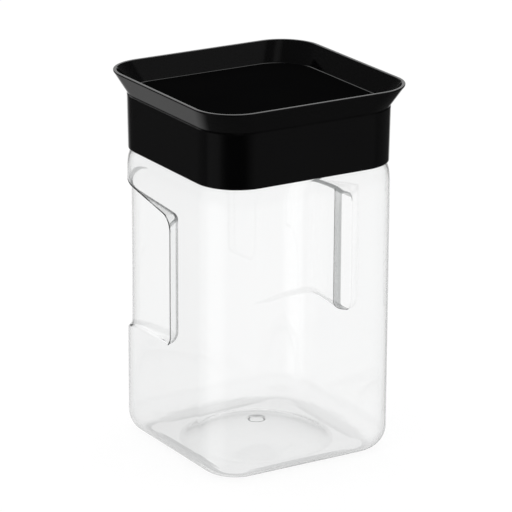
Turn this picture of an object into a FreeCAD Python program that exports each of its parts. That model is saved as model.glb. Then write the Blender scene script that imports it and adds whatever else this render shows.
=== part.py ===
"""A square, clear kitchen canister with a push-on black lid.

Millimetres, +Z up, origin at the centre of the base. The front is -Y.
The jar is a thin blown shell with a pinch grip on each side, towards the back.
The lid is a moulded tray on a skirt; under it a pan clamps a soft seal.
"""
import FreeCAD
import Part
import Sketcher
import math
import os

Vector = FreeCAD.Vector
doc = FreeCAD.newDocument("canister")

# Driving dimensions, in millimetres, each with its note
DIMENSIONS = {
    # Jar
    "jar_width": (100.0, "outside width of the square jar"),
    "jar_corner_radius": (20.0, "outside radius of its upright corners"),
    "jar_wall": (0.9, "wall of the blown body"),
    "base_wall": (1.3, "wall of the base, which the blow stretches less"),
    "heel_radius": (10.9, "outside radius where wall and base meet"),
    "standing_width": (3.1, "flat of the base between heel and push-up"),
    "dome_height": (8.8, "height of the push-up over the table"),
    "dome_edge_radius": (8.0, "roundness of the standing ring's inner edge"),
    "gate_ring_diameter": (8.4, "ring mark at the moulding gate"),
    "gate_bead": (0.8, "thickness of that ring"),
    "shoulder_height": (136.4, "where the lines of wall and shoulder cross"),
    "shoulder_radius": (22.0, "bend from wall to shoulder"),
    "neck_inset": (2.1, "neck lies this far inside the body wall"),
    "shoulder_rise": (5.2, "neck's foot stands this far above that crossing"),
    "neck_wall": (1.5, "wall of the neck"),
    # Pinch grips
    "grip_step_ahead": (3.7, "step lies this far ahead of the middle"),
    "grip_depth": (6.7, "depth of the recess at the step"),
    "grip_step_lean": (2.4, "foot of the step lies this far behind its edge"),
    "grip_step_round": (3.7, "roundness at the foot of the step"),
    "grip_corner_depth": (1.5, "depth left where the jar's corner begins"),
    "grip_corner_gain": (1.2, "recess's corner radius exceeds the jar's by this much"),
    "grip_fade": (0.55, "how far the recess's line crosses the back wall at its end"),
    "grip_top_round": (7.0, "rounded top front corner of the recess"),
    "grip_bottom": (57.0, "bottom edge of the recess along the side"),
    "grip_height": (60.5, "height of the recess at the step"),
    "grip_top_rise": (10.0, "rise of its top edge from the step to the back wall"),
    "grip_bottom_drop": (28.0, "how far the line of that edge falls behind the jar"),
    "grip_bottom_round": (50.0, "bend of that edge into its fall"),
    "grip_foot_round": (4.0, "rounded bottom front corner of the recess"),
    # Lid
    "lid_seam_drop": (0.2, "lid's lower edge lies this far below the neck's foot"),
    "lid_setback": (0.27, "skirt's lower edge lies this far inside the jar wall"),
    "lid_skirt_taper": (0.32, "skirt's top stands this much further out"),
    "lid_corner_radius": (20.5, "outside corner radius of the skirt"),
    "lid_skirt_height": (26.2, "height of the skirt"),
    "lid_clearance": (0.43, "gap between skirt and neck"),
    "lid_ledge": (0.5, "tiny ledge between skirt and flare"),
    "flare_height": (10.8, "height of the flared tray rim"),
    "flare_reach": (5.25, "rim stands this far outside the flare's foot"),
    "rim_corner_radius": (20.0, "corner radius of flare and rim"),
    "tray_wall": (1.1, "wall of the flare"),
    "tray_floor_rise": (0.9, "tray floor over the flare's foot"),
    "tray_floor_round": (1.2, "fillet round the tray floor"),
    "rim_round": (0.4, "roundness of the rim's lip"),
    "lid_floor": (1.5, "thickness of the tray floor"),
    "rib_height": (4.0, "locating rib under the tray floor"),
    "rib_wall": (1.2, "thickness of that rib"),
    # Inner pan and seal
    "pan_depth": (12.0, "pan reaches this far below the lid's underside"),
    "pan_wall": (1.2, "wall and floor of the pan"),
    "pan_fit": (0.1, "gap between pan and locating rib"),
    "pan_flange": (1.4, "height of the flange that holds the seal"),
    "flange_gap": (0.7, "gap between that flange and the neck"),
    "seal_space": (1.9, "gap between pan and neck that the seal fills"),
    "seal_fit": (0.05, "gap between seal and pan"),
    "seal_band": (0.8, "thickness of the seal's band"),
    "seal_fin": (0.9, "thickness of each sealing fin"),
    "seal_clearance": (0.3, "gap left between fin and neck"),
}

sheet = doc.addObject("Spreadsheet::Sheet", "sizes")
for row, (name, (number, note)) in enumerate(DIMENSIONS.items(), start=1):
    sheet.set(f"A{row}", name)
    sheet.set(f"B{row}", str(number))
    sheet.set(f"C{row}", note)
    sheet.setAlias(f"B{row}", name)
doc.recompute()


class Size:
    """A length together with the sheet formula that gives it."""

    def __init__(self, value, formula):
        self.value = value
        self.formula = formula

    def __add__(self, other):
        other = as_size(other)
        return Size(self.value + other.value, f"({self.formula} + {other.formula})")

    def __sub__(self, other):
        other = as_size(other)
        return Size(self.value - other.value, f"({self.formula} - {other.formula})")

    def __mul__(self, other):
        other = as_size(other)
        return Size(self.value * other.value, f"({self.formula} * {other.formula})")

    def __truediv__(self, other):
        other = as_size(other)
        return Size(self.value / other.value, f"({self.formula} / {other.formula})")

    def __neg__(self):
        return Size(-self.value, f"(-{self.formula})")


def as_size(length):
    return length if isinstance(length, Size) else Size(float(length), str(float(length)))


def size(name):
    return Size(float(sheet.get(name)), f"sizes.{name}")


def bind(thing, path, length):
    """Ties a property or a constraint of a document object to the sheet."""
    thing.setExpression(path, as_size(length).formula)


# Places that several pieces share
jar_half = size("jar_width") / 2
jar_corner = size("jar_corner_radius")
wall = size("jar_wall")
neck_half = jar_half - size("neck_inset")
neck_corner = jar_corner - size("neck_inset")
bore_half = neck_half - size("neck_wall")
bore_corner = neck_corner - size("neck_wall")
shoulder = size("shoulder_height")
neck_foot = shoulder + size("shoulder_rise")
lid_foot = neck_foot - size("lid_seam_drop")
flare_foot = lid_foot + size("lid_skirt_height")
tray_floor = flare_foot + size("tray_floor_rise")
lid_underside = tray_floor - size("lid_floor")
rim_top = flare_foot + size("flare_height")
neck_top = lid_underside


# Sketch helpers

def foot_on_line(point, start, end):
    along = (end - start).normalize()
    return start + along * (point - start).dot(along)


def rounded_corner(before, corner, after, radius):
    """The tangent points and the centre of the arc that rounds a corner."""
    towards_before = (before - corner).normalize()
    towards_after = (after - corner).normalize()
    half_angle = towards_before.getAngle(towards_after) / 2
    bisector = (towards_before + towards_after).normalize()
    centre = corner + bisector * (radius / math.sin(half_angle))
    return foot_on_line(centre, before, corner), foot_on_line(centre, corner, after), centre


def place_point(sketch, geometry, which, corner):
    """Fixes a point of the sketch at a place given by the sheet."""
    for kind, length in (("DistanceX", corner[0]), ("DistanceY", corner[1])):
        length = as_size(length)
        index = sketch.addConstraint(Sketcher.Constraint(kind, -1, 1, geometry, which, length.value))
        bind(sketch, f"Constraints[{index}]", length)


def join_by_arc(sketch, before, after, corner, start, end, centre):
    """Joins two lines by a tangent arc whose virtual corner and radius come from the sheet."""
    radius = as_size(corner[2])
    point = Vector(as_size(corner[0]).value, as_size(corner[1]).value, 0)
    turns_left = (point - start).cross(end - point).z > 0
    circle = Part.Circle(centre, Vector(0, 0, 1), radius.value)
    first, last = (start, end) if turns_left else (end, start)
    near, far = (1, 2) if turns_left else (2, 1)
    arc = sketch.addGeometry(Part.ArcOfCircle(circle, circle.parameter(first), circle.parameter(last)), False)
    vertex = sketch.addGeometry(Part.Point(point), True)
    sketch.addConstraint(Sketcher.Constraint("Tangent", before, 2, arc, near))
    sketch.addConstraint(Sketcher.Constraint("Tangent", arc, far, after, 1))
    sketch.addConstraint(Sketcher.Constraint("PointOnObject", vertex, 1, before))
    sketch.addConstraint(Sketcher.Constraint("PointOnObject", vertex, 1, after))
    index = sketch.addConstraint(Sketcher.Constraint("Radius", arc, radius.value))
    bind(sketch, f"Constraints[{index}]", radius)
    place_point(sketch, vertex, 1, corner)


def draw_outline(sketch, corners):
    """Draws a closed outline through corners of (x, y) or (x, y, radius)."""
    points = [Vector(as_size(c[0]).value, as_size(c[1]).value, 0) for c in corners]
    nexts = points[1:] + points[:1]
    turns = []
    for corner, before, point, after in zip(corners, points[-1:] + points[:-1], points, nexts):
        rounded = len(corner) > 2
        turns.append(rounded_corner(before, point, after, as_size(corner[2]).value) if rounded
                     else (point, point, None))
    lines = []
    for turn, turn_after in zip(turns, turns[1:] + turns[:1]):
        lines.append(sketch.addGeometry(Part.LineSegment(turn[1], turn_after[0]), False))
    for corner, turn, before, after in zip(corners, turns, lines[-1:] + lines[:-1], lines):
        if turn[2] is None:
            sketch.addConstraint(Sketcher.Constraint("Coincident", before, 2, after, 1))
            place_point(sketch, after, 1, corner)
        else:
            join_by_arc(sketch, before, after, corner, *turn)


def rounded_square(half, radius):
    """Corners of a square about the origin, starting at the middle of its right side."""
    return [(half, 0), (half, half, radius), (-half, half, radius),
            (-half, -half, radius), (half, -half, radius)]


# Feature helpers

def new_body(name):
    return doc.addObject("PartDesign::Body", name)


def body_sketch(body, name, role, corners, height=0):
    """A sketch on one of the body's origin planes, lifted by a height."""
    sketch = body.newObject("Sketcher::SketchObject", name)
    plane = next(f for f in body.Origin.OriginFeatures if f.Role == role)
    sketch.AttachmentSupport = (plane, [""])
    sketch.MapMode = "FlatFace"
    bind(sketch, "AttachmentOffset.Base.z", height)
    draw_outline(sketch, corners)
    doc.recompute()
    return sketch


def square_sketch(body, name, half, radius, height):
    return body_sketch(body, name, "XY_Plane", rounded_square(half, radius), height)


def square_feature(body, kind, name, half, radius, bottom, height):
    """Adds or removes an upright rounded square block."""
    feature = body.newObject(kind, name)
    feature.Profile = square_sketch(body, name + "_outline", half, radius, bottom)
    feature.Reversed = kind == "PartDesign::Pocket"
    bind(feature, "Length", height)
    doc.recompute()
    return feature


def loft_feature(body, kind, name, low, high):
    """Joins two rounded squares, each (half, radius, height), by straight walls."""
    feature = body.newObject(kind, name)
    feature.Profile = square_sketch(body, name + "_low", *low)
    feature.Sections = [square_sketch(body, name + "_high", *high)]
    feature.Ruled = True
    doc.recompute()
    return feature


def fillet_feature(body, name, edges, radius):
    """Rounds the edges of the body's last feature that a test picks out."""
    base = body.Tip
    names = [f"Edge{i}" for i, edge in enumerate(base.Shape.Edges, start=1) if edges(edge)]
    feature = body.newObject("PartDesign::Fillet", name)
    feature.Base = (base, names)
    bind(feature, "Radius", radius)
    doc.recompute()
    return feature


def boolean(kind, name, base, tool):
    feature = doc.addObject(kind, name)
    feature.Base = base
    feature.Tool = tool
    doc.recompute()
    return feature


# Jar: forms with a wall profile carried round the square

def square_form(name, profile, top):
    """A solid whose wall profile, in the XZ plane, is carried round the jar's square outline."""
    body = new_body(name)
    square_feature(body, "PartDesign::Pad", name + "_core", core_half + core_lap, core_corner + core_lap,
                   profile[0][1], top - profile[0][1])
    path = square_sketch(body, name + "_path", jar_half, jar_corner, 0)
    pipe = body.newObject("PartDesign::AdditivePipe", name + "_wall")
    pipe.Profile = body_sketch(body, name + "_profile", "XZ_Plane", profile)
    pipe.Spine = (path, [f"Edge{i}" for i in range(1, len(path.Shape.Edges) + 1)])
    doc.recompute()
    return body


core_inset = size("heel_radius") + size("jar_wall") * 4
core_half = jar_half - core_inset
core_corner = jar_corner - core_inset
core_lap = size("jar_wall")
outside = square_form("jar_outside", [
    (core_half, 0),
    (jar_half, 0, size("heel_radius")),
    (jar_half, shoulder, size("shoulder_radius")),
    (neck_half, neck_foot),
    (neck_half, neck_top),
    (core_half, neck_top)], neck_top)
above_neck = neck_top + size("neck_wall")
inside = square_form("jar_inside", [
    (core_half, size("base_wall")),
    (jar_half - wall, size("base_wall"), size("heel_radius") - wall),
    (jar_half - wall, shoulder - wall, size("shoulder_radius") - wall),
    (bore_half, neck_foot),
    (bore_half, above_neck),
    (core_half, above_neck)], above_neck)


# Jar: push-up under the base

dome_radius = jar_half - size("heel_radius") - size("standing_width")
dome_ball = (dome_radius * dome_radius / size("dome_height") + size("dome_height")) / 2


def dome(name, radius):
    ball = doc.addObject("Part::Sphere", name)
    bind(ball, "Radius", radius)
    bind(ball, "Placement.Base.z", size("dome_height") - dome_ball)
    return ball


outside_domed = boolean("Part::Cut", "jar_outside_domed", outside, dome("push_up", dome_ball))
inside_domed = boolean("Part::Cut", "jar_inside_domed", inside,
                       dome("push_up_inside", dome_ball + size("base_wall")))
standing_ring = doc.addObject("Part::Fillet", "jar_standing_ring")
standing_ring.Base = outside_domed
ring_radius = size("dome_edge_radius").value
standing_ring.Edges = [
    (i, ring_radius, ring_radius) for i, edge in enumerate(outside_domed.Shape.Edges, start=1)
    if edge.Closed and edge.BoundBox.ZMax < size("heel_radius").value / 2]
doc.recompute()


# Jar: pinch grips, as the space that the recess and its inner bulge take up

step_foot = (-(jar_half - size("grip_depth")), size("grip_step_lean") - size("grip_step_ahead"))
step_slope = size("grip_step_lean") / size("grip_depth")
floor_slope = ((size("grip_depth") - size("grip_corner_depth"))
               / (jar_half - jar_corner - step_foot[1]))
floor_end = -(jar_half - size("grip_corner_depth")) - floor_slope * jar_corner
clear = jar_corner
fade = size("grip_fade")
plan_corners = [
    (-(jar_half + clear), -size("grip_step_ahead") - step_slope * clear),
    (step_foot[0], step_foot[1], size("grip_step_round")),
    (floor_end, jar_half - fade, jar_corner + size("grip_corner_gain")),
    (-jar_half + jar_corner * 2, jar_half + fade),
    (-jar_half + jar_corner * 2, jar_half + clear),
    (-(jar_half + clear), jar_half + clear)]
grip_top = size("grip_bottom") + size("grip_height")
top_slope = size("grip_top_rise") / (jar_half + size("grip_step_ahead"))
front = -size("grip_step_ahead") - wall
back = jar_half + clear
side_corners = [
    (front, size("grip_bottom"), size("grip_foot_round")),
    (jar_half - jar_corner / 2, size("grip_bottom"), size("grip_bottom_round")),
    (back, size("grip_bottom") - size("grip_bottom_drop")),
    (back, grip_top + size("grip_top_rise") + top_slope * clear),
    (front, grip_top - top_slope * wall, size("grip_top_round"))]


def free_sketch(name, corners, rotation):
    sketch = doc.addObject("Sketcher::SketchObject", name)
    draw_outline(sketch, corners)
    sketch.Placement = FreeCAD.Placement(Vector(0, 0, 0), rotation)
    doc.recompute()
    return sketch


def grown(sketch, name, margin):
    offset = doc.addObject("Part::Offset2D", name)
    offset.Source = sketch
    offset.Join = "Intersection"
    bind(offset, "Value", margin)
    doc.recompute()
    return offset


def prism(name, base, direction, length, symmetric):
    extrusion = doc.addObject("Part::Extrusion", name)
    extrusion.Base = base
    extrusion.DirMode = "Custom"
    extrusion.Dir = direction
    extrusion.Solid = True
    extrusion.Symmetric = symmetric
    bind(extrusion, "LengthFwd", length)
    doc.recompute()
    return extrusion


def grip_space(name, plan, side):
    """Where the plan outline and the side outline meet, on both sides of the jar."""
    left = prism(name + "_left", plan, Vector(0, 0, 1), neck_foot, False)
    right = doc.addObject("Part::Mirroring", name + "_right")
    right.Source = left
    right.Normal = Vector(1, 0, 0)
    doc.recompute()
    pair = boolean("Part::Fuse", name + "_pair", left, right)
    across = prism(name + "_across", side, Vector(1, 0, 0), (jar_half + clear) * 2, True)
    return boolean("Part::Common", name, pair, across)


plan = free_sketch("grip_plan", plan_corners, FreeCAD.Rotation())
upright = FreeCAD.Rotation(Vector(0, 1, 0), Vector(0, 0, 1), Vector(1, 0, 0), "XYZ")
side = free_sketch("grip_side", side_corners, upright)
recess = grip_space("grip_recess", plan, side)
plan_grown = grown(plan, "grip_plan_grown", wall)
side_grown = grown(side, "grip_side_grown", wall)
bulge = grip_space("grip_bulge", plan_grown, side_grown)
outside_gripped = boolean("Part::Cut", "jar_outside_gripped", standing_ring, recess)
inside_gripped = boolean("Part::Cut", "jar_inside_gripped", inside_domed, bulge)
shell = boolean("Part::Cut", "jar_shell", outside_gripped, inside_gripped)
gate_ring = doc.addObject("Part::Torus", "gate_ring")
bind(gate_ring, "Radius1", size("gate_ring_diameter") / 2)
bind(gate_ring, "Radius2", size("gate_bead") / 2)
bind(gate_ring, "Placement.Base.z", size("dome_height"))
jar_body = boolean("Part::Fuse", "jar_body", shell, gate_ring)


# Lid shell: skirt, flared tray, hollow underside and locating rib

lid_shell = new_body("lid_shell")
skirt_low = jar_half - size("lid_setback")
skirt_high = skirt_low + size("lid_skirt_taper")
flare_low = skirt_high - size("lid_ledge")
flare_slope = size("flare_reach") / size("flare_height")
rim_corner = size("rim_corner_radius")
tray_wall = size("tray_wall")
tray_low = flare_low + flare_slope * size("tray_floor_rise") - tray_wall
tray_high = flare_low + size("flare_reach") - tray_wall
loft_feature(lid_shell, "PartDesign::AdditiveLoft", "skirt",
             (skirt_low, size("lid_corner_radius"), lid_foot),
             (skirt_high, size("lid_corner_radius"), flare_foot))
loft_feature(lid_shell, "PartDesign::AdditiveLoft", "flare",
             (flare_low, rim_corner, flare_foot),
             (flare_low + size("flare_reach"), rim_corner, rim_top))
loft_feature(lid_shell, "PartDesign::SubtractiveLoft", "tray",
             (tray_low, rim_corner - tray_wall, tray_floor),
             (tray_high, rim_corner - tray_wall, rim_top))
cavity_half = neck_half + size("lid_clearance")
square_feature(lid_shell, "PartDesign::Pocket", "cavity", cavity_half, neck_corner + size("lid_clearance"),
               lid_foot, lid_underside - lid_foot)
pan_half = bore_half - size("seal_space")
pan_corner = bore_corner - size("seal_space")
rib_inset = size("pan_wall") + size("pan_fit")
square_feature(lid_shell, "PartDesign::Pad", "rib", pan_half - rib_inset, pan_corner - rib_inset,
               lid_underside - size("rib_height"), size("rib_height"))
rib_inside = rib_inset + size("rib_wall")
square_feature(lid_shell, "PartDesign::Pocket", "rib_hollow", pan_half - rib_inside, pan_corner - rib_inside,
               lid_underside - size("rib_height"), size("rib_height"))


def at_height(height):
    return lambda edge: (abs(edge.BoundBox.ZMin - height.value) < 1e-4
                         and abs(edge.BoundBox.ZMax - height.value) < 1e-4)


fillet_feature(lid_shell, "rim_lip", at_height(rim_top), size("rim_round"))
fillet_feature(lid_shell, "tray_floor_fillet", at_height(tray_floor), size("tray_floor_round"))


# Inner pan: pressed on the rib, with a flange that holds the seal

plug_insert = new_body("plug_insert")
pan_bottom = lid_underside - size("pan_depth")
flange_half = bore_half - size("flange_gap")
flange_corner = bore_corner - size("flange_gap")
pan_wall = size("pan_wall")
square_feature(plug_insert, "PartDesign::Pad", "pan", pan_half, pan_corner, pan_bottom, size("pan_depth"))
square_feature(plug_insert, "PartDesign::Pad", "pan_rim", flange_half, flange_corner, pan_bottom,
               size("pan_flange"))
square_feature(plug_insert, "PartDesign::Pocket", "pan_hollow", pan_half - pan_wall, pan_corner - pan_wall,
               pan_bottom + pan_wall, size("pan_depth") - pan_wall)


# Seal: a band round the pan with two fins

seal_ring = new_body("seal_ring")
seal_bottom = pan_bottom + size("pan_flange")
seal_height = lid_underside - seal_bottom
seal_inset = size("seal_space") - size("seal_fit")
band_inset = seal_inset - size("seal_band")
fin_inset = size("seal_clearance")
fin = size("seal_fin")
square_feature(seal_ring, "PartDesign::Pad", "band", bore_half - band_inset, bore_corner - band_inset,
               seal_bottom, seal_height)
for count, name in ((1, "lower_fin"), (2, "upper_fin")):
    fin_bottom = seal_bottom + seal_height * count / 3 - fin / 2
    square_feature(seal_ring, "PartDesign::Pad", name, bore_half - fin_inset, bore_corner - fin_inset,
                   fin_bottom, fin)
square_feature(seal_ring, "PartDesign::Pocket", "seal_hole", bore_half - seal_inset, bore_corner - seal_inset,
               seal_bottom, seal_height)


# Check and write

doc.recompute()
for thing in doc.Objects:
    if "Invalid" in thing.State or "Error" in thing.State:
        raise RuntimeError(f"{thing.Name} failed: {thing.State}")
pieces = [jar_body, lid_shell, plug_insert, seal_ring]
for piece in pieces:
    if piece.Shape.isNull() or not piece.Shape.isValid():
        raise RuntimeError(f"{piece.Label} has no valid shape")
    if len(piece.Shape.Solids) != 1:
        raise RuntimeError(f"{piece.Label} has {len(piece.Shape.Solids)} solids")
os.makedirs("parts", exist_ok=True)
for piece in pieces:
    piece.Shape.exportStep(f"parts/{piece.Label}.step")
    box = piece.Shape.BoundBox
    print(f"{piece.Label}: {piece.Shape.Volume:.0f} mm3, x {box.XMin:.2f} {box.XMax:.2f},"
          f" y {box.YMin:.2f} {box.YMax:.2f}, z {box.ZMin:.2f} {box.ZMax:.2f}")
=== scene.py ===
# %% [markdown]
# A clear square canister with a black lid
#
# The canister is two mouldings: a thin, clear, blown jar and a glossy black lid with a flared tray on top.
# Under the lid sit a pan and a soft seal that go into the jar's neck. Each step below says what a piece is
# on the real object, how it could be made, and why it is made this way.

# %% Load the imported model
import bmesh
import bpy
import math
import numpy as np
from mathutils import Matrix, Vector


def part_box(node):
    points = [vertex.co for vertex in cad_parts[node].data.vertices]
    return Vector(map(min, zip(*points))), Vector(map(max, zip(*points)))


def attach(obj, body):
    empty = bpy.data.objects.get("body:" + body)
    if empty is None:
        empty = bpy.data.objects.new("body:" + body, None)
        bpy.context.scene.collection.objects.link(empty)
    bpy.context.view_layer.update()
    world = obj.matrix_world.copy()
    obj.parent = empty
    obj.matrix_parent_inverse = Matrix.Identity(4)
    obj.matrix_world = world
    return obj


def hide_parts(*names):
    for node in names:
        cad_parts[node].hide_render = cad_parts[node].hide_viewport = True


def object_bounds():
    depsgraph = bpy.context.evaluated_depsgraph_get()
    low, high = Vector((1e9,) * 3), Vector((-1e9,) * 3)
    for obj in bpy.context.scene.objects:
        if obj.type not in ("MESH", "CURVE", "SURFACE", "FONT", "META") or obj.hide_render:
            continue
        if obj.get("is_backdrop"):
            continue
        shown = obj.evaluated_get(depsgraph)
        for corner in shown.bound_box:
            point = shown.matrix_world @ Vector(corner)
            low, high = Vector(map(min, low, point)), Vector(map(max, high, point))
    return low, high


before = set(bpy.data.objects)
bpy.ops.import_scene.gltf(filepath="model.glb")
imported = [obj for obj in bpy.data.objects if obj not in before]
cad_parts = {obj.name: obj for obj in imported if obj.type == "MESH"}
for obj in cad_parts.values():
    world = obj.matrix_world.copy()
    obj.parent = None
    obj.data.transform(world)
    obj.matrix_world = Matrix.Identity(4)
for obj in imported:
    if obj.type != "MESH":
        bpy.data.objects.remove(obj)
cad_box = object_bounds()
MM = 0.001
TINY = 1e-6
print("box of the solids in mm", [round(side / MM, 2) for side in cad_box[1] - cad_box[0]])

# %% [markdown]
# The camera
#
# The photograph is a product picture taken from the front left, a little above the lid, with a long lens. A
# camera could be placed by eye, but clear plastic shows every degree of error in the lines seen through it.
# So the camera stands on a ray from the canister's middle, given by a turn, a height angle and a distance,
# and its focal length is in pixels of the 512 pixel frame, as a picture is measured.

# %% Camera
FRAME_PIXELS = 512
SENSOR_MM = 36
camera_turn = math.radians(-31.442)
camera_height = math.radians(18.061)
camera_roll = math.radians(0.291)
camera_target = Vector((0, 0, 95 * MM))
camera_distance = 1621.0 * MM
focal_pixels = 3457.4
picture_centre = (257.38, 247.31)


def direction_from(turn, height):
    """Unit vector towards a turn from the front, in radians, and a height angle."""
    return Vector((math.sin(turn) * math.cos(height), -math.cos(turn) * math.cos(height), math.sin(height)))


backwards = direction_from(camera_turn, camera_height)
rightwards = (-backwards).cross(Vector((0, 0, 1))).normalized()
upwards = backwards.cross(rightwards)
rolled_right = rightwards * math.cos(camera_roll) + upwards * math.sin(camera_roll)
rolled_up = upwards * math.cos(camera_roll) - rightwards * math.sin(camera_roll)
camera_axes = Matrix((rolled_right, rolled_up, backwards)).transposed().to_4x4()
camera_data = bpy.data.cameras.new("camera")
camera_data.sensor_width = SENSOR_MM
camera_data.lens = SENSOR_MM * focal_pixels / FRAME_PIXELS
camera_data.shift_x = 0.5 - picture_centre[0] / FRAME_PIXELS
camera_data.shift_y = picture_centre[1] / FRAME_PIXELS - 0.5
camera = bpy.data.objects.new("camera", camera_data)
bpy.context.scene.collection.objects.link(camera)
camera.matrix_world = Matrix.Translation(camera_target + backwards * camera_distance) @ camera_axes
bpy.context.scene.camera = camera
print("lens", round(camera_data.lens, 2), "mm at", [round(part, 4) for part in camera.matrix_world.translation])

# %% [markdown]
# Nodes by script
#
# The world, the floor and every finish are node trees. Each node could be added, set and linked line by
# line, but a tree of thirty nodes then hides what it does. So one helper adds a node, sets its options and
# fills its inputs, and three small ones stand for the nodes used most. The Mix node has inputs for several
# kinds of value under the same names, so its inputs are given by place.

# %% Node helpers


def put(tree, kind, inputs=None, **settings):
    """Adds a node, sets its options, and fills its inputs with values or with other nodes' outputs."""
    made = tree.nodes.new(kind)
    for name, value in settings.items():
        setattr(made, name, value)
    for name, value in (inputs or {}).items():
        if isinstance(value, bpy.types.NodeSocket):
            tree.links.new(value, made.inputs[name])
        else:
            made.inputs[name].default_value = value
    return made


def calculate(tree, operation, first, second=0.0):
    return put(tree, "ShaderNodeMath", {0: first, 1: second}, operation=operation).outputs[0]


def mix_numbers(tree, share, first, second):
    return put(tree, "ShaderNodeMix", {0: share, 2: first, 3: second}, data_type="FLOAT").outputs[0]


def mix_colours(tree, share, first, second):
    return put(tree, "ShaderNodeMix", {0: share, 6: first, 7: second}, data_type="RGBA").outputs[2]


print("helpers", [helper.__name__ for helper in (put, calculate, mix_numbers, mix_colours)])

# %% [markdown]
# The studio
#
# Clear plastic has hardly any colour of its own: what shows is the white behind it, and grey lines where a
# surface turns so far that it mirrors something darker. In a room that is white all round the jar would
# vanish. Lamps could light it, but they would show on the lid as hard spots. So the world is white for the
# camera and for light that comes straight through the jar. What the lid and the jar's outside mirror is a
# dark room with a few soft panels, each a direction with a soft edge. The first panel takes light away, so
# that the lid's front stays black. Light that is mirrored inside the jar sees a paler room: brightest
# below, where the table is, and darkest level with the eye. A window on the left makes the soft strips on
# the corners, and a far wall keeps the back of the base pale. Diffuse surfaces get an even, plain light.
# The Light Path node tells all these rays apart.

# %% Panels
# The depth of a ray is a whole number, so a half parts none from one or more.
ONE_OR_MORE = 0.5
ROOM_LIGHT = 0.06
# Inside the jar: the light level with the eye, then how steeply a ray looks down or up and the light there.
INSIDE_LEVEL = 0.3
INSIDE_SLANTS = ((-0.3, 0.92), (0.3, 0.5))
DIFFUSE_LIGHT = 1.0
# Each panel has its turn from the camera, height, inner and outer half angle in degrees, and brightness.
ROOM_PANELS = {
    "dark behind the camera": (0, -18, 14, 38, -0.058),
    "left of the camera": (-60, -18, 4, 24, 0.08),
    "above the camera": (8, 36, 4, 18, 0.24),
    "right of the camera": (63, -18, 6, 24, 0.04),
    "on the right": (68, 27, 6, 20, 0.11),
    "high on the right": (140, 58, 10, 26, 2.20),
    "high on the left": (-138, 32, 8, 22, 1.60),
    "backdrop": (180, -4, 20, 32, 0.80),
    "table behind": (205, -40, 14, 30, 0.33),
}
INSIDE_PANELS = {
    "window on the left": (-54, -18, 4, 34, 0.80),
    "far wall": (180, -6, 4, 18, 0.40),
}


def white_rays(tree, rays):
    """One for rays that show the white background: the camera's, and those straight through clear plastic."""
    unmirrored = calculate(tree, "LESS_THAN", rays["Glossy Depth"], ONE_OR_MORE)
    through = calculate(tree, "MULTIPLY", rays["Is Transmission Ray"], unmirrored)
    return calculate(tree, "MAXIMUM", rays["Is Camera Ray"], through)


def add_panels(tree, light, panels, looking):
    """Adds the glow of soft panels to a light, for the direction that a ray looks in."""
    for turn, height, inner, outer, brightness in panels.values():
        towards = direction_from(camera_turn + math.radians(turn), math.radians(height))
        nearness = put(tree, "ShaderNodeVectorMath", {0: looking, 1: towards}, operation="DOT_PRODUCT")
        panel = put(tree, "ShaderNodeMapRange", {
            "Value": nearness.outputs["Value"],
            "From Min": math.cos(math.radians(outer)),
            "From Max": math.cos(math.radians(inner)),
            "To Max": brightness}, interpolation_type="SMOOTHSTEP")
        light = calculate(tree, "ADD", light, panel.outputs["Result"])
    return light


print("panels for the outside", len(ROOM_PANELS), "and for the inside", len(INSIDE_PANELS))

# %% [markdown]
# The world
#
# The tree gives every ray one brightness. It starts with the room, swaps in the paler room for rays
# mirrored inside the jar and the even light for diffuse ones, and puts white over all of it for rays that
# show the background. Lamps with light linking could part some of these cases, but not rays inside the jar
# from rays outside it.

# %% World
world = bpy.data.worlds.new("studio")
bpy.context.scene.world = world
world.use_nodes = True
world.cycles.sampling_method = "NONE"
sky = world.node_tree
sky.nodes.clear()
sky_rays = put(sky, "ShaderNodeLightPath").outputs
looking = put(sky, "ShaderNodeTexCoord").outputs["Generated"]
room = add_panels(sky, ROOM_LIGHT, ROOM_PANELS, looking)
looking_up = put(sky, "ShaderNodeSeparateXYZ", {0: looking}).outputs["Z"]
slants = []
for steepest, brightness in INSIDE_SLANTS:
    slant = put(sky, "ShaderNodeMapRange", {
        "Value": looking_up, "From Min": 0.0, "From Max": steepest,
        "To Min": INSIDE_LEVEL, "To Max": brightness})
    slants.append(slant.outputs["Result"])
paler_room = add_panels(sky, calculate(sky, "MAXIMUM", *slants), INSIDE_PANELS, looking)
inside = calculate(sky, "GREATER_THAN", sky_rays["Transmission Depth"], ONE_OR_MORE)
mirrored = mix_numbers(sky, inside, room, paler_room)
unseen = mix_numbers(sky, sky_rays["Is Diffuse Ray"], mirrored, DIFFUSE_LIGHT)
strength = mix_numbers(sky, white_rays(sky, sky_rays), unseen, 1.0)
background = put(sky, "ShaderNodeBackground", {"Color": (1, 1, 1, 1), "Strength": strength})
put(sky, "ShaderNodeOutputWorld", {"Surface": background.outputs[0]})
bpy.context.scene.view_settings.view_transform = "Standard"
print("world tree with", len(sky.nodes), "nodes")

# %% [markdown]
# The floor
#
# The floor is pale and plain. It has to stay white in the picture and still carry the canister's shadow. A
# white diffuse floor could do it, but only with more light than the plain level, which would wash out the
# lid. So for white rays it glows almost to white, and a little diffuse white on top takes the shadow. It is
# hidden from mirrored rays, which see the room's panels instead.

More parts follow.
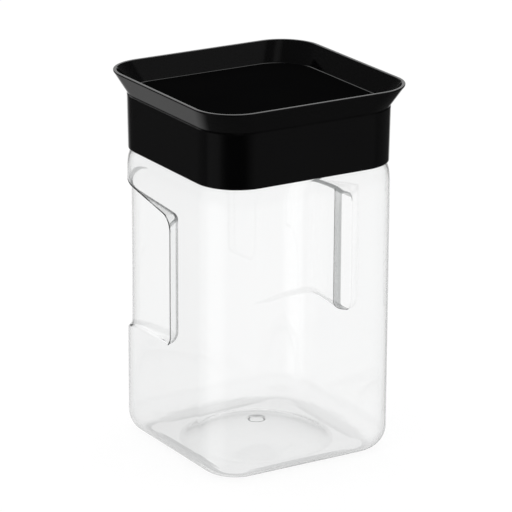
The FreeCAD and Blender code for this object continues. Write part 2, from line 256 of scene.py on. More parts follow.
# %% Floor
FLOOR_SIZE = 6.0
FLOOR_DROP = 0.0002
FLOOR_GLOW = 0.93
FLOOR_SHADE = 0.09
FLOOR_PALE = 0.8
floor_mesh = bpy.data.meshes.new("floor")
floor_half = FLOOR_SIZE / 2
floor_corners = [(floor_half * x, floor_half * y, 0) for x, y in ((-1, -1), (1, -1), (1, 1), (-1, 1))]
floor_mesh.from_pydata(floor_corners, [], [(0, 1, 2, 3)])
floor = bpy.data.objects.new("floor", floor_mesh)
bpy.context.scene.collection.objects.link(floor)
floor.location.z = -FLOOR_DROP
floor.visible_glossy = False
floor.visible_transmission = False
floor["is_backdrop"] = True
floor_paint = bpy.data.materials.new("floor_paint")
floor_paint.use_nodes = True
paint = floor_paint.node_tree
paint.nodes.clear()
floor_rays = put(paint, "ShaderNodeLightPath").outputs
glow = put(paint, "ShaderNodeEmission", {"Color": (1, 1, 1, 1), "Strength": FLOOR_GLOW})
shade = put(paint, "ShaderNodeBsdfDiffuse", {"Color": (FLOOR_SHADE, FLOOR_SHADE, FLOOR_SHADE, 1)})
lit = put(paint, "ShaderNodeAddShader", {0: glow.outputs[0], 1: shade.outputs[0]})
pale = put(paint, "ShaderNodeBsdfDiffuse", {"Color": (FLOOR_PALE, FLOOR_PALE, FLOOR_PALE, 1)})
seen_white = white_rays(paint, floor_rays)
seen = put(paint, "ShaderNodeMixShader", {0: seen_white, 1: pale.outputs[0], 2: lit.outputs[0]})
put(paint, "ShaderNodeOutputMaterial", {"Surface": seen.outputs[0]})
floor_mesh.materials.append(floor_paint)
print("floor", FLOOR_SIZE, "m wide")

# %% [markdown]
# Effects that finishes share
#
# Moulded plastic is never quite even: walls ripple a little where the melt flowed, gloss has faint scuffs,
# and matt areas carry the grain of the mould. Each could be built anew in every material. These three turn
# up on several pieces, so each is a node group that is built once and placed in each material with its own
# values. They read Object coordinates, so the pattern stays on the piece when it moves.

# %% Shared effects


def effect(name, numbers, result):
    """Starts a shader node group with number inputs and one number output."""
    group = bpy.data.node_groups.new(name, "ShaderNodeTree")
    for label, value in numbers.items():
        socket = group.interface.new_socket(label, in_out="INPUT", socket_type="NodeSocketFloat")
        socket.default_value = value
    group.interface.new_socket(result, in_out="OUTPUT", socket_type="NodeSocketFloat")
    place = put(group, "ShaderNodeTexCoord").outputs["Object"]
    return group, put(group, "NodeGroupInput").outputs, place


ripple, sizes, place = effect("flow_ripple", {"Across": 60.0, "Along": 9.0}, "Height")
stretch = put(ripple, "ShaderNodeCombineXYZ", {0: sizes["Across"], 1: sizes["Across"], 2: sizes["Along"]})
flowing = put(ripple, "ShaderNodeVectorMath", {0: place, 1: stretch.outputs[0]}, operation="MULTIPLY")
waves = put(ripple, "ShaderNodeTexNoise", {"Vector": flowing.outputs[0], "Scale": 1.0, "Detail": 1.5})
put(ripple, "NodeGroupOutput", {0: waves.outputs[0]})

scuffs, sizes, place = effect("fine_scuffs", {"Smooth": 0.1, "Scuffed": 0.2, "Scale": 90.0}, "Roughness")
patches = put(scuffs, "ShaderNodeTexNoise", {
    "Vector": place, "Scale": sizes["Scale"], "Detail": 5.0, "Roughness": 0.6})
worn = put(scuffs, "ShaderNodeMapRange", {
    "Value": patches.outputs[0], "From Min": 0.35, "From Max": 0.7,
    "To Min": sizes["Smooth"], "To Max": sizes["Scuffed"]})
put(scuffs, "NodeGroupOutput", {0: worn.outputs[0]})

grain, sizes, place = effect("mould_grain", {"Scale": 2200.0}, "Height")
pits = put(grain, "ShaderNodeTexVoronoi", {"Vector": place, "Scale": sizes["Scale"]}, feature="SMOOTH_F1")
dust = put(grain, "ShaderNodeTexNoise", {"Vector": place, "Scale": sizes["Scale"], "Detail": 2.0})
put(grain, "NodeGroupOutput", {0: calculate(grain, "ADD", pits.outputs["Distance"], dust.outputs[0])})
print("effects", [group.name for group in (ripple, scuffs, grain)])

# %% [markdown]
# Finishes
#
# The canister has five: clear gloss plastic, the lid's black gloss, the matt grain of its tray floor, the
# satin of the hidden pan, and soft silicone. Five separate trees could be drawn by hand, but all have one
# plan: a colour that varies a little, a roughness from the scuffs, and a faint relief. So one function
# builds them, and a value that is the same all over goes straight on the shader's own socket. The clear
# plastic also takes a painted grey shade where the jar's own attribute, painted_shade, asks for it.

# %% Materials
SHADE_ATTRIBUTE = "painted_shade"
CLOUD_SCALE = 25.0
CLOUD_DETAIL = 3.0


def finish(name, colours, wear, relief, strength, depth, painted_shade_colour=None, **sockets):
    """A Principled material from two colours to vary between, scuffs, a relief and plain socket values."""
    material = bpy.data.materials.new(name)
    material.use_nodes = True
    tree = material.node_tree
    tree.nodes.clear()
    spot = put(tree, "ShaderNodeTexCoord").outputs["Object"]
    cloud = put(tree, "ShaderNodeTexNoise", {"Vector": spot, "Scale": CLOUD_SCALE, "Detail": CLOUD_DETAIL})
    low, high = colours
    tint = mix_colours(tree, cloud.outputs[0], (*low, 1), (*high, 1))
    # Painted shade: grey mixed into the colour where the attribute asks, standing in for shade and shadow.
    if painted_shade_colour:
        painted_grey = put(tree, "ShaderNodeAttribute", attribute_name=SHADE_ATTRIBUTE).outputs["Fac"]
        tint = mix_colours(tree, painted_grey, tint, (*painted_shade_colour, 1))
    scuffed = put(tree, "ShaderNodeGroup", wear, node_tree=scuffs)
    pattern, values = relief
    raised = put(tree, "ShaderNodeGroup", values, node_tree=pattern)
    bump = put(tree, "ShaderNodeBump", {"Height": raised.outputs[0], "Strength": strength, "Distance": depth})
    shader = put(tree, "ShaderNodeBsdfPrincipled", {
        "Base Color": tint, "Roughness": scuffed.outputs[0], "Normal": bump.outputs[0]})
    for label, value in sockets.items():
        shader.inputs[label.replace("_", " ")].default_value = value
    put(tree, "ShaderNodeOutputMaterial", {"Surface": shader.outputs[0]})
    return material


# The clear plastic's grey is painted shade and painted shadow, not a colour of the plastic.
clear_plastic = finish(
    "clear_plastic", ((0.985, 0.99, 0.99), (1.0, 1.0, 1.0)), {"Smooth": 0.0, "Scuffed": 0.02, "Scale": 40.0},
    (ripple, {"Across": 70.0, "Along": 12.0}), strength=0.04, depth=0.0002,
    painted_shade_colour=(0.34, 0.35, 0.35), Transmission_Weight=1.0, IOR=1.5)
lid_gloss = finish(
    "lid_gloss", ((0.001, 0.001, 0.0011), (0.0018, 0.0018, 0.002)),
    {"Smooth": 0.06, "Scuffed": 0.12, "Scale": 90.0},
    (ripple, {"Across": 40.0, "Along": 20.0}), strength=0.06, depth=0.0002, IOR=1.5)
tray_grain = finish(
    "tray_grain", ((0.0022, 0.0022, 0.0023), (0.0032, 0.0032, 0.0033)),
    {"Smooth": 0.42, "Scuffed": 0.55, "Scale": 60.0},
    (grain, {"Scale": 2200.0}), strength=0.25, depth=0.00015, IOR=1.5, Specular_IOR_Level=0.0)
pan_satin = finish(
    "pan_satin", ((0.016, 0.016, 0.017), (0.024, 0.024, 0.025)),
    {"Smooth": 0.3, "Scuffed": 0.42, "Scale": 80.0},
    (grain, {"Scale": 1600.0}), strength=0.2, depth=0.0001, IOR=1.5)
silicone = finish(
    "silicone", ((0.58, 0.59, 0.58), (0.66, 0.67, 0.66)), {"Smooth": 0.55, "Scuffed": 0.7, "Scale": 120.0},
    (grain, {"Scale": 1400.0}), strength=0.15, depth=0.0001, IOR=1.42)
print("materials", [item.name for item in (clear_plastic, lid_gloss, tray_grain, pan_satin, silicone)])

# %% [markdown]
# Rounded lines
#
# Nearly every line on a moulding is a straight run with rounded corners, so one helper serves all pieces. A
# Bevel modifier could round finished edges, but then the grid of the jar's wall would no longer be a grid.
# The helper walks a list of corners and puts points along each rounding. Next to each rounding it adds a
# point on the straight run: smooth shading would otherwise bend the light over the whole flat wall. A
# second helper makes a rounded square with the same number of points on every side and corner.

# %% Rounded lines
HOLD = 0.45
SHORT_RUN = 4
FINE_ANGLE = math.radians(9)
FEWEST_STEPS = 2


def unit(vector):
    return vector / np.linalg.norm(vector)


def rounding(before, corner, after, angle):
    """Points of the arc at one corner, or the corner itself where there is nothing to round."""
    back = unit((before - corner)[:2])
    ahead = unit((after - corner)[:2])
    opening = math.acos(np.clip(back @ ahead, -1, 1))
    bend = math.pi - opening
    radius = corner[2]
    if radius == 0 or bend < TINY:
        return [corner]
    cut = radius / math.tan(opening / 2)
    middle = corner[:2] + unit(back + ahead) * radius / math.sin(opening / 2)
    first = corner[:2] + back * cut - middle
    turned = np.sign(first[1] * back[0] - first[0] * back[1]) * bend
    steps = max(FEWEST_STEPS, math.ceil(bend / angle))
    arc = []
    for step in range(steps + 1):
        sine, cosine = math.sin(turned * step / steps), math.cos(turned * step / steps)
        point = corner.copy()
        point[:2] = middle + (first[0] * cosine - first[1] * sine, first[0] * sine + first[1] * cosine)
        arc.append(point)
    return arc


def rounded_line(corners, hold=HOLD, angle=FINE_ANGLE):
    """Points of a line through corners of (x, y, radius, extra...); extras stay the same along a rounding."""
    corners = [np.array(corner, float) for corner in corners]
    runs = [[corners[0]]]
    runs += [rounding(*three, angle) for three in zip(corners, corners[1:], corners[2:])]
    runs.append([corners[-1]])
    line = list(runs[0])
    for run, following in zip(runs, runs[1:]):
        gap = following[0] - run[-1]
        length = np.linalg.norm(gap[:2])
        if length > SHORT_RUN * hold:
            line += [run[-1] + gap * hold / length, following[0] - gap * hold / length]
        line += following
    kept = [line[0]]
    kept += [point for before, point in zip(line, line[1:]) if np.abs(point - before)[:2].max() > TINY]
    return np.array(kept)


def rounded_square(half, radius, side_parts, corner_steps):
    """Points of a rounded square about the middle: round each corner, then at the given parts of a side."""
    quarter = math.pi / 2
    reach = math.sqrt(2) * (half - radius)

    def on_corner(number, swing):
        middle = quarter * number + quarter / 2
        return np.array((reach * math.cos(middle) + radius * math.cos(swing),
                         reach * math.sin(middle) + radius * math.sin(swing)))

    points = []
    for number in range(4):
        start = quarter * number
        points += [on_corner(number, start + quarter * step / corner_steps) for step in range(corner_steps + 1)]
        side_start = points[-1]
        side_end = on_corner(number + 1, start + quarter)
        points += [side_start + (side_end - side_start) * part for part in side_parts]
    return np.array(points)


print("corner of 90 degrees in", len(rounded_line([(0, 0, 0), (10, 0, 2), (10, 10, 0)])), "points")

# %% [markdown]
# The jar from above
#
# The jar is a blown shell: a square with rounded corners, and on each side, towards the back, a pinch grip.
# Seen from above, a grip is a step into the side wall, then a floor that comes back out and fades round the
# corner. A boolean cut would leave hard, ragged edges that clear plastic shows at once. So the wall is a
# grid instead: columns stand round the outline, close together at the step, and every column knows how deep
# the grip is where it stands. The right half mirrors the left.

# %% Grip line
_, jar_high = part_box("jar_body")
JAR_HALF = jar_high.x / MM
JAR_CORNER = 20.0
STEP_Y = -3.7
STEP_LEAN = 2.4
STEP_EDGE_ROUND = 1.4
STEP_FOOT_ROUND = 2.5
STEP_ANGLE = math.radians(7.5)
GRIP_DEPTH = 6.7
GRIP_CORNER_DEPTH = 1.5
GRIP_CORNER_RADIUS = 21.2
GRIP_FADE = 0.55
corner_middle = JAR_HALF - JAR_CORNER
floor_slope = (GRIP_DEPTH - GRIP_CORNER_DEPTH) / (corner_middle - STEP_Y - STEP_LEAN)
floor_far = GRIP_CORNER_DEPTH - floor_slope * JAR_CORNER
grip_line = rounded_line([
    (-JAR_HALF, -corner_middle, 0),
    (-JAR_HALF, STEP_Y, STEP_EDGE_ROUND),
    (-JAR_HALF + GRIP_DEPTH, STEP_Y + STEP_LEAN, STEP_FOOT_ROUND),
    (-JAR_HALF + floor_far, JAR_HALF - GRIP_FADE, GRIP_CORNER_RADIUS),
    (-JAR_HALF + 2 * JAR_CORNER, JAR_HALF + GRIP_FADE, 0)], angle=STEP_ANGLE)
PAST_CORNER = 2.0
side_part = grip_line[grip_line[:, 1] < corner_middle + PAST_CORNER]
around_corner = grip_line[:, :2] - (-corner_middle, corner_middle)
swing_part = np.degrees(np.arctan2(around_corner[:, 1], -around_corner[:, 0]))
reach_part = np.hypot(around_corner[:, 0], around_corner[:, 1])
print("grip line with", len(grip_line), "points")

# %% [markdown]
# Columns round the jar
#
# A column is a point of the outline, the direction that faces out there, and the depth of the grip.
# Even steps would do for a plain jar, but the step is only a few millimetres long. So columns stand close
# together there and round the corners, and wide apart on the flat walls.

# %% Jar columns
FRONT_COLUMNS = 6
CORNER_COLUMNS = 25
AHEAD_COLUMNS = 6
SLANT_COLUMNS = 5
FLOOR_COLUMNS = 17
GRIP_CORNER_COLUMNS = 37
BACK_COLUMNS = 6
BESIDE_CORNER = 1.0
FIRST_AHEAD = 4.0
FIRST_BACK = 3.0
STEP_SURROUNDINGS = 3.0
LONGEST_GAP = 1.0


def spread(start, end, count):
    return list(np.linspace(start, end, count, endpoint=False))


def step_places():
    """Places along the side of the columns at the step: those of its line, and more on its slanted face."""
    low = STEP_Y - STEP_SURROUNDINGS
    high = STEP_Y + STEP_LEAN + STEP_SURROUNDINGS
    places = [y for y in side_part[:, 1] if low < y < high]
    for before, after in list(zip(places, places[1:])):
        if after - before > LONGEST_GAP:
            places += spread(before, after, SLANT_COLUMNS)[1:]
    return sorted(places)


def left_columns():
    """Plan point, outward direction and grip depth of each column from the front's middle to the back's."""
    made = []
    edge = -corner_middle + BESIDE_CORNER
    for x in spread(0, edge, FRONT_COLUMNS) + [edge]:
        made.append(((x, -JAR_HALF), (0, -1), 0))
    for swing in np.radians(np.linspace(0, 90, CORNER_COLUMNS)):
        out = np.array((-math.sin(swing), -math.cos(swing)))
        made.append((np.array((-corner_middle, -corner_middle)) + JAR_CORNER * out, out, 0))
    at_step = step_places()
    ahead = [edge] + spread(-corner_middle + FIRST_AHEAD, at_step[0], AHEAD_COLUMNS)
    behind = spread(at_step[-1], corner_middle, FLOOR_COLUMNS)[1:]
    for y in ahead + at_step + behind:
        depth = np.interp(y, side_part[:, 1], side_part[:, 0]) + JAR_HALF
        made.append(((-JAR_HALF, y), (-1, 0), depth))
    for swing in np.linspace(0, 90, GRIP_CORNER_COLUMNS):
        out = np.array((-math.cos(math.radians(swing)), math.sin(math.radians(swing))))
        depth = max(0.0, JAR_CORNER - np.interp(swing, swing_part, reach_part))
        made.append((np.array((-corner_middle, corner_middle)) + JAR_CORNER * out, out, depth))
    for x in [edge] + spread(-corner_middle + FIRST_BACK, 0, BACK_COLUMNS) + [0]:
        made.append(((x, JAR_HALF), (0, 1), 0))
    return [(np.array(point, float), np.array(out, float), depth) for point, out, depth in made]


left_half = left_columns()
flip = np.array((-1, 1))
right_half = [(point * flip, out * flip, depth) for point, out, depth in left_half[-2:0:-1]]
columns = left_half + right_half
plan = np.array([point for point, _, _ in columns])
outward = np.array([out for _, out, _ in columns])
depths = np.array([depth for _, _, depth in columns])
print("jar has", len(columns), "columns; deepest grip", round(depths.max(), 2), "mm")

# %% [markdown]
# The jar from the side
#
# Each column now gets its rows. Away from the grips they follow the plain wall: round the heel, straight
# up, over the shoulder and up the neck that the lid hides. In a grip they turn in over a shelf, run up the
# floor, and turn out again under a tighter top edge. One profile could be swept round the outline, but then
# the grip would have no ends. So every column has rows of its own, the same number in each, and where the
# grip is shallow the roundings shrink with it, so the shelf fades away as the real one does round the back
# corner.

# %% Grip edges
GRIP_TOP = 117.5
GRIP_TOP_RISE = 10.0
GRIP_TOP_CORNER = 7.0
GRIP_SHELF = 57.0
SHELF_FALL_Y = 40.0
SHELF_FALL = 28.0 / 30.0
SHELF_FALL_ROUND = 50.0
GRIP_FOOT_CORNER = 4.0
GRIP_FRONT_Y = STEP_Y - 0.9
GRIP_START_Y = STEP_Y - 0.8
top_slope = GRIP_TOP_RISE / (JAR_HALF - STEP_Y)


def inside_corner(y, height, radius, up):
    """How far a rounded front corner of the grip lifts or lowers its edge."""
    into = y - GRIP_FRONT_Y
    if into >= radius:
        return height
    drop = radius - math.sqrt(max(0.0, radius ** 2 - (radius - max(into, 0.0)) ** 2))
    return height + up * drop


def grip_edges(y):
    """Heights of the shelf and of the top edge above a place along the side."""
    y = max(y, GRIP_START_Y)
    bend = math.atan(SHELF_FALL)
    cut = SHELF_FALL_ROUND * math.tan(bend / 2)
    start = SHELF_FALL_Y - cut
    end = SHELF_FALL_Y + cut * math.cos(bend)
    if y < start:
        shelf = GRIP_SHELF
    elif y < end:
        shelf = GRIP_SHELF - SHELF_FALL_ROUND + math.sqrt(SHELF_FALL_ROUND ** 2 - (y - start) ** 2)
    else:
        shelf = GRIP_SHELF - SHELF_FALL * (y - SHELF_FALL_Y)
    top = GRIP_TOP + top_slope * (y - STEP_Y)
    return inside_corner(y, shelf, GRIP_FOOT_CORNER, 1), inside_corner(y, top, GRIP_TOP_CORNER, -1)


print("grip from", GRIP_SHELF, "to", round(grip_edges(corner_middle)[1], 1), "mm at the back corner")

# %% [markdown]
# Rows of a column
#
# An edge of the grip is two roundings: one out of the wall and one into the floor. At full depth a level
# piece lies between them; where the grip is shallow they meet halfway, and a second row beside the meeting
# point keeps the count of rows the same.

# %% Jar rows
HEEL = 10.9
SHOULDER = 136.4
SHOULDER_RISE = 5.2
SHOULDER_ROUND = 22.0
NECK_INSET = 2.1
NECK_ROUND = 0.8
LIP = 0.4
NECK_TOP = jar_high.z / MM - 0.05
NECK_FOOT = SHOULDER + SHOULDER_RISE
TOP_ROUNDS = (0.9, 1.2)
SHELF_ROUNDS = (1.6, 4.2)
LEAST_TURN = math.radians(9)
ROUND_STEPS = 7
TWIN_INSET = 0.999
TWIN_DROP = 0.01
BELOW_ROWS = 7
FLOOR_ROWS = 11
ABOVE_ROWS = 4

wall_line = rounded_line([
    (HEEL, 0, 0), (0, 0, HEEL), (0, SHOULDER, SHOULDER_ROUND),
    (NECK_INSET, NECK_FOOT, NECK_ROUND), (NECK_INSET, NECK_TOP - LIP, 0)])
heel_rows = [(inset, z) for inset, z, _ in wall_line if z < HEEL + 2 * HOLD]
neck_rows = [(inset, z) for inset, z, _ in wall_line if z > SHOULDER - SHOULDER_ROUND / 2]


def edge_rows(depth, height, rounds, rising):
    """Rows (inset, height) of an edge, from outside to floor; the top edge's are turned upside down."""
    outer, inner = rounds
    turn = math.acos(max(0.0, 1 - depth / (outer + inner)))
    lift = max(turn, LEAST_TURN)
    shallow = turn < math.pi / 2
    rows = []
    for step in range(ROUND_STEPS + 1):
        part = step / ROUND_STEPS
        inset = outer * (1 - math.cos(turn * part))
        rows.append((inset, outer * (math.sin(lift * part) - math.sin(lift))))
    for step in range(1 if shallow else 0, ROUND_STEPS + 1):
        part = 1 - step / ROUND_STEPS
        inset = depth - inner * (1 - math.cos(turn * part))
        rows.append((inset, inner * (math.sin(lift) - math.sin(lift * part))))
    if shallow:
        inset, rise = rows[ROUND_STEPS]
        rows.insert(ROUND_STEPS, (inset * TWIN_INSET, rise - TWIN_DROP))
    sign = 1 if rising else -1
    rows = [(inset, height + sign * rise) for inset, rise in rows]
    return rows if rising else rows[::-1]


def inner_steps(start, end, count):
    return list(np.linspace(start, end, count)[1:-1])


def column_rows(point, depth):
    """All rows of one column, as (inset, height), from the heel to the neck's top."""
    shelf_height, top_height = grip_edges(point[1])
    shelf = edge_rows(depth, shelf_height, SHELF_ROUNDS, True)
    top = edge_rows(depth, top_height, TOP_ROUNDS, False)
    shelf_start, floor_low, floor_high, top_end = shelf[0][1], shelf[-1][1], top[0][1], top[-1][1]
    below = inner_steps(heel_rows[-1][1], shelf_start, BELOW_ROWS) + [shelf_start - HOLD]
    on_floor = [floor_low + HOLD] + inner_steps(floor_low, floor_high, FLOOR_ROWS) + [floor_high - HOLD]
    above = [top_end + HOLD] + inner_steps(top_end, neck_rows[0][1], ABOVE_ROWS)
    return np.array(heel_rows + [(0, z) for z in below] + shelf + [(depth, z) for z in on_floor]
                    + top + [(0, z) for z in above] + neck_rows)


wall_rows = np.array([column_rows(point, depth) for point, _, depth in columns]).transpose(1, 0, 2)
outer_wall = np.dstack([plan[None] - outward[None] * wall_rows[:, :, :1], wall_rows[:, :, 1]])
print("jar wall has", outer_wall.shape[0], "rows")

# %% [markdown]
# The jar's base
#
# A blown base is pushed up in the middle, so that the jar stands on a ring and doesn't rock. A small ring
# at the centre is the mark of the gate. A flat plate with a ball cut from it would do, but its square and
# its circle would need stitching. So the base starts as the wall's rounded square, turns into circles on
# the flat, and follows a ball from there. The flat has rows at fixed distances from the heel, so that a
# shade can start there with a clean edge.

# %% Jar base
STANDING_WIDTH = 5.1
DOME_RADIUS = JAR_HALF - HEEL - STANDING_WIDTH
DOME_HEIGHT = 8.8
DOME_EDGE = 8.0
GATE_RADIUS = 3.5
GATE_BEAD = 0.3
BEAD_ANGLES = (-15, -165)
CENTRE_RADII = (GATE_RADIUS - 2 * GATE_BEAD, 2.4, 1.2)
EDGE_ROWS = 7
BALL_ROWS = 14
BEAD_ROWS = 9
FLAT_PART = 0.04
FLAT_INSETS = (2.9, 2.6, 1.4)
FARTHEST_INSET = 1 - 1.5 * FLAT_PART
ball = (DOME_RADIUS ** 2 / DOME_HEIGHT + DOME_HEIGHT) / 2
ball_middle = DOME_HEIGHT - ball
edge_middle = math.sqrt((ball + DOME_EDGE) ** 2 - (DOME_EDGE - ball_middle) ** 2)


def on_ball(radius):
    return radius, ball_middle + math.sqrt(ball ** 2 - radius ** 2)


def base_profile(gate):
    """Radius and height of the base's circles, from the standing ring to just beside the centre."""
    last = math.atan2(edge_middle, DOME_EDGE - ball_middle)
    rows = []
    for angle in np.linspace(0, last, EDGE_ROWS):
        rows.append((edge_middle - DOME_EDGE * math.sin(angle), DOME_EDGE - DOME_EDGE * math.cos(angle)))
    rows += [on_ball(radius) for radius in np.linspace(rows[-1][0], GATE_RADIUS + 2 * GATE_BEAD, BALL_ROWS)[1:]]
    if gate:
        for angle in np.radians(np.linspace(*BEAD_ANGLES, BEAD_ROWS)):
            rows.append((GATE_RADIUS + GATE_BEAD * math.cos(angle), DOME_HEIGHT + GATE_BEAD * math.sin(angle)))
    rows += [on_ball(radius) for radius in CENTRE_RADII]
    return rows


def base_rows(gate):
    """Rings of the base, from beside the centre out to the heel's first ring."""
    heel_ring = outer_wall[0]
    angles = np.arctan2(heel_ring[:, 1], heel_ring[:, 0])
    circle = np.stack([np.cos(angles), np.sin(angles)], 1)
    rows = []
    for radius, height in base_profile(gate)[::-1]:
        rows.append(np.column_stack([circle * radius, np.full(len(circle), height)]))
    dome_ring = rows[-1]
    flat_width = np.linalg.norm(heel_ring - dome_ring, axis=1)[:, None]
    parts = [FLAT_PART]
    parts += [1 - np.minimum(inset / flat_width, FARTHEST_INSET) for inset in FLAT_INSETS]
    parts += [1 - FLAT_PART]
    rows += [dome_ring * (1 - part) + heel_ring * part for part in parts]
    return np.array(rows)


outer_rings = np.concatenate([base_rows(True), outer_wall])
plain_rings = np.concatenate([base_rows(False), outer_wall])
print("base ring", round(edge_middle, 2), "mm from the centre, pushed up", DOME_HEIGHT, "mm")

# %% [markdown]
# Wall thickness
#
# The blow stretches the plastic thinnest on the walls and leaves more in the neck. Under the neck the
# shoulder thickens to a wedge, which bends what is seen through it into lines. Solidify could thicken the
# sheet, but by one amount. So every row is moved inwards along the surface's own direction by the thickness
# at its height, and a rounded lip joins the two skins. The gate's ring stands on the underside only, so the
# inner skin follows rows without it.

# %% Jar wall
WALL = 0.9
BASE_WALL = 0.7
WEDGE_WALL = 1.05
SHOULDER_WALL = 1.9
NECK_WALL = 1.5
WALL_BY_HEIGHT = (
    (0, BASE_WALL),
    (2 * HEEL, WALL),
    (NECK_FOOT - 13, WALL),
    (NECK_FOOT - 4, WEDGE_WALL),
    (NECK_FOOT, SHOULDER_WALL),
    (NECK_FOOT + 3, NECK_WALL),
)
LIP_EDGE = 0.12
LIP_LINE = ((LIP_EDGE, LIP_EDGE), (LIP, 0), (NECK_WALL - LIP, 0), (NECK_WALL - LIP_EDGE, LIP_EDGE))


def directions(rings):
    """Outward unit vectors of a grid of rings, from the neighbours of each point."""
    along = np.roll(rings, -1, 1) - np.roll(rings, 1, 1)
    across = np.empty_like(rings)
    across[1:-1] = rings[2:] - rings[:-2]
    across[0] = rings[1] - rings[0]
    across[-1] = rings[-1] - rings[-2]
    crossed = np.cross(along, across)
    crossed /= np.linalg.norm(crossed, axis=2, keepdims=True)
    front = crossed[-1, 0]
    return crossed if front[1] < 0 else -crossed


def level_ring(ring, height):
    return np.column_stack([ring, np.full(len(ring), height)])


outwards = directions(plain_rings)
thickness = np.interp(plain_rings[:, :, 2], *zip(*WALL_BY_HEIGHT))
inner_rings = plain_rings - outwards * thickness[:, :, None]
lip_rings = []
for inset, drop in LIP_LINE:
    lip_rings.append(level_ring(plan - outward * (NECK_INSET + inset), NECK_TOP - drop))
jar_rings = np.concatenate([outer_rings, lip_rings, inner_rings[::-1]])
jar_poles = (DOME_HEIGHT, DOME_HEIGHT + BASE_WALL)
print("wall from", round(thickness.min(), 2), "to", round(thickness.max(), 2), "mm in", len(jar_rings), "rings")

# %% [markdown]
# Painted shade in the bends
#
# Where clear plastic bends tightly inwards it throws the light aside and reads as grey. Round the heel it
# does so too, and the shadow on the floor under the heel shows through. Enough samples could find that light,
# but far more than a picture gets. So the mesh carries an attribute, painted_shade, and the plastic takes a
# painted grey shade from it. A shader could work out the bends from the Pointiness of a mesh, but that finds
# every edge and is the same in all directions. Here the grid gives it: how fast the outward direction turns
# along a step, around and up. Only bends in the grips count, and those of the shelf less. The pushed-up middle
# of the base gets a faint painted shade all over. The heel and the outer part of the flat get a painted shadow
# of their own, widest at the middle of each side and weaker on the side that the light comes from.

# %% Painted shade
# Painted shade in the grips' bends and on the base, and a painted shadow round the heel and the outer flat.
HOLLOW_BEND = (0.18, 0.33)
STEP_PAINTED_SHADE = 0.72
SHELF_HEIGHTS = (80.0, 110.0)
SHELF_PAINTED_SHADE = 0.3
SHADE_GRIP_DEPTH = 4.0
SHADE_REACH = 14
BASE_PAINTED_SHADE = 0.1
HEEL_PAINTED_SHADOW = 0.4
# The painted heel shadow is weaker towards the light: its direction, then the weights facing away and facing
# it.
HEEL_LIGHT = (0.9, 0.43)
HEEL_LIT = (1.05, 0.35)
HEEL_SHADOW_TOPS = (0.7, 2.4)
HEEL_SHADOW_FADE = 0.5
FLAT_PAINTED_SHADOW = 0.45
FLAT_SHADOW_SPREAD = 2.0
FLAT_ROWS = len(FLAT_INSETS) + 2
SHADED_FLAT_ROWS = 3


def hollows(rings, outwards):
    """How tightly the wall bends inwards at each point, around and up: the inverse of the radius in mm."""
    around = (np.roll(rings, -1, 1) - np.roll(rings, 1, 1), np.roll(outwards, -1, 1) - np.roll(outwards, 1, 1))
    up = (np.gradient(rings, axis=0), np.gradient(outwards, axis=0))
    return [np.maximum(0, -(step * turn).sum(2) / (step * step).sum(2)) for step, turn in (around, up)]


def share(value, low, high):
    return np.clip((value - low) / (high - low), 0, 1)


heights = outer_wall[:, :, 2]
hollow_around, hollow_up = hollows(outer_wall, outwards[-len(outer_wall):])
nearby = np.max([np.roll(depths, shift) for shift in range(-SHADE_REACH, SHADE_REACH + 1)], axis=0)
gripped = share(nearby, 0.0, SHADE_GRIP_DEPTH)[None] * (heights > 2 * HEEL)
around_shade = share(hollow_around, *HOLLOW_BEND) * STEP_PAINTED_SHADE
up_shade = share(hollow_up, *HOLLOW_BEND) * np.interp(heights, SHELF_HEIGHTS, (SHELF_PAINTED_SHADE, 1.0))
mid_side = np.clip(1 - (np.abs(plan).min(1) / corner_middle) ** 2, 0, 1)
heel_top = np.interp(mid_side, (0, 1), HEEL_SHADOW_TOPS)[None]
heel_shade = np.interp(outward @ np.array(HEEL_LIGHT), (-1, 1), HEEL_LIT)
heel_shadow = HEEL_PAINTED_SHADOW * heel_shade * share(heel_top - heights, 0, HEEL_SHADOW_FADE)
wall_shade = np.maximum(np.maximum(around_shade, up_shade) * gripped, heel_shadow)
flat_shadow = FLAT_PAINTED_SHADOW * heel_shade * np.clip(FLAT_SHADOW_SPREAD * mid_side, 0, 1)


def skin_shade(rings):
    """Painted shade of one skin, from the centre outwards: the dome, the outer part of the flat, then the wall.
    """
    painted_shade = np.zeros(rings.shape[:2])
    wall_start = len(rings) - len(outer_wall)
    painted_shade[:wall_start - FLAT_ROWS] = BASE_PAINTED_SHADE
    painted_shade[wall_start - SHADED_FLAT_ROWS:wall_start] = flat_shadow
    painted_shade[wall_start:] = wall_shade
    return painted_shade


lip_shade = np.zeros((len(lip_rings), len(columns)))
jar_painted_shade = np.concatenate([skin_shade(outer_rings), lip_shade, skin_shade(inner_rings)[::-1]])
print("folded points", int((wall_shade > 0.5).sum()), "of", wall_shade.size)

# %% [markdown]
# From rings to a mesh
#
# The jar and the lid are both stacks of rings that close at the axis. A Loft could be left to an add-on,
# but faces between two rings are only a count of points, so a short function makes them. A second one turns
# all faces outwards, which clear plastic needs to bend light the right way, and measures the piece.

# %% Mesh helpers


def mesh_from_rings(name, rings, first_pole, last_pole, materials):
    """A closed mesh over a stack of rings; each end closes at a height on the axis."""
    count, around = rings.shape[:2]
    points = list(rings.reshape(-1, 3) * MM) + [(0, 0, first_pole * MM), (0, 0, last_pole * MM)]
    pairs = [(place, (place + 1) % around) for place in range(around)]
    faces = []
    for low in range(0, (count - 1) * around, around):
        high = low + around
        faces += [(low + place, low + after, high + after, high + place) for place, after in pairs]
    end = (count - 1) * around
    for place, after in pairs:
        faces.append((count * around, after, place))
        faces.append((count * around + 1, end + place, end + after))
    mesh = bpy.data.meshes.new(name)
    mesh.from_pydata([tuple(point) for point in points], [], faces)
    for material in materials:
        mesh.materials.append(material)
    made = bpy.data.objects.new(name, mesh)
    bpy.context.scene.collection.objects.link(made)
    return made


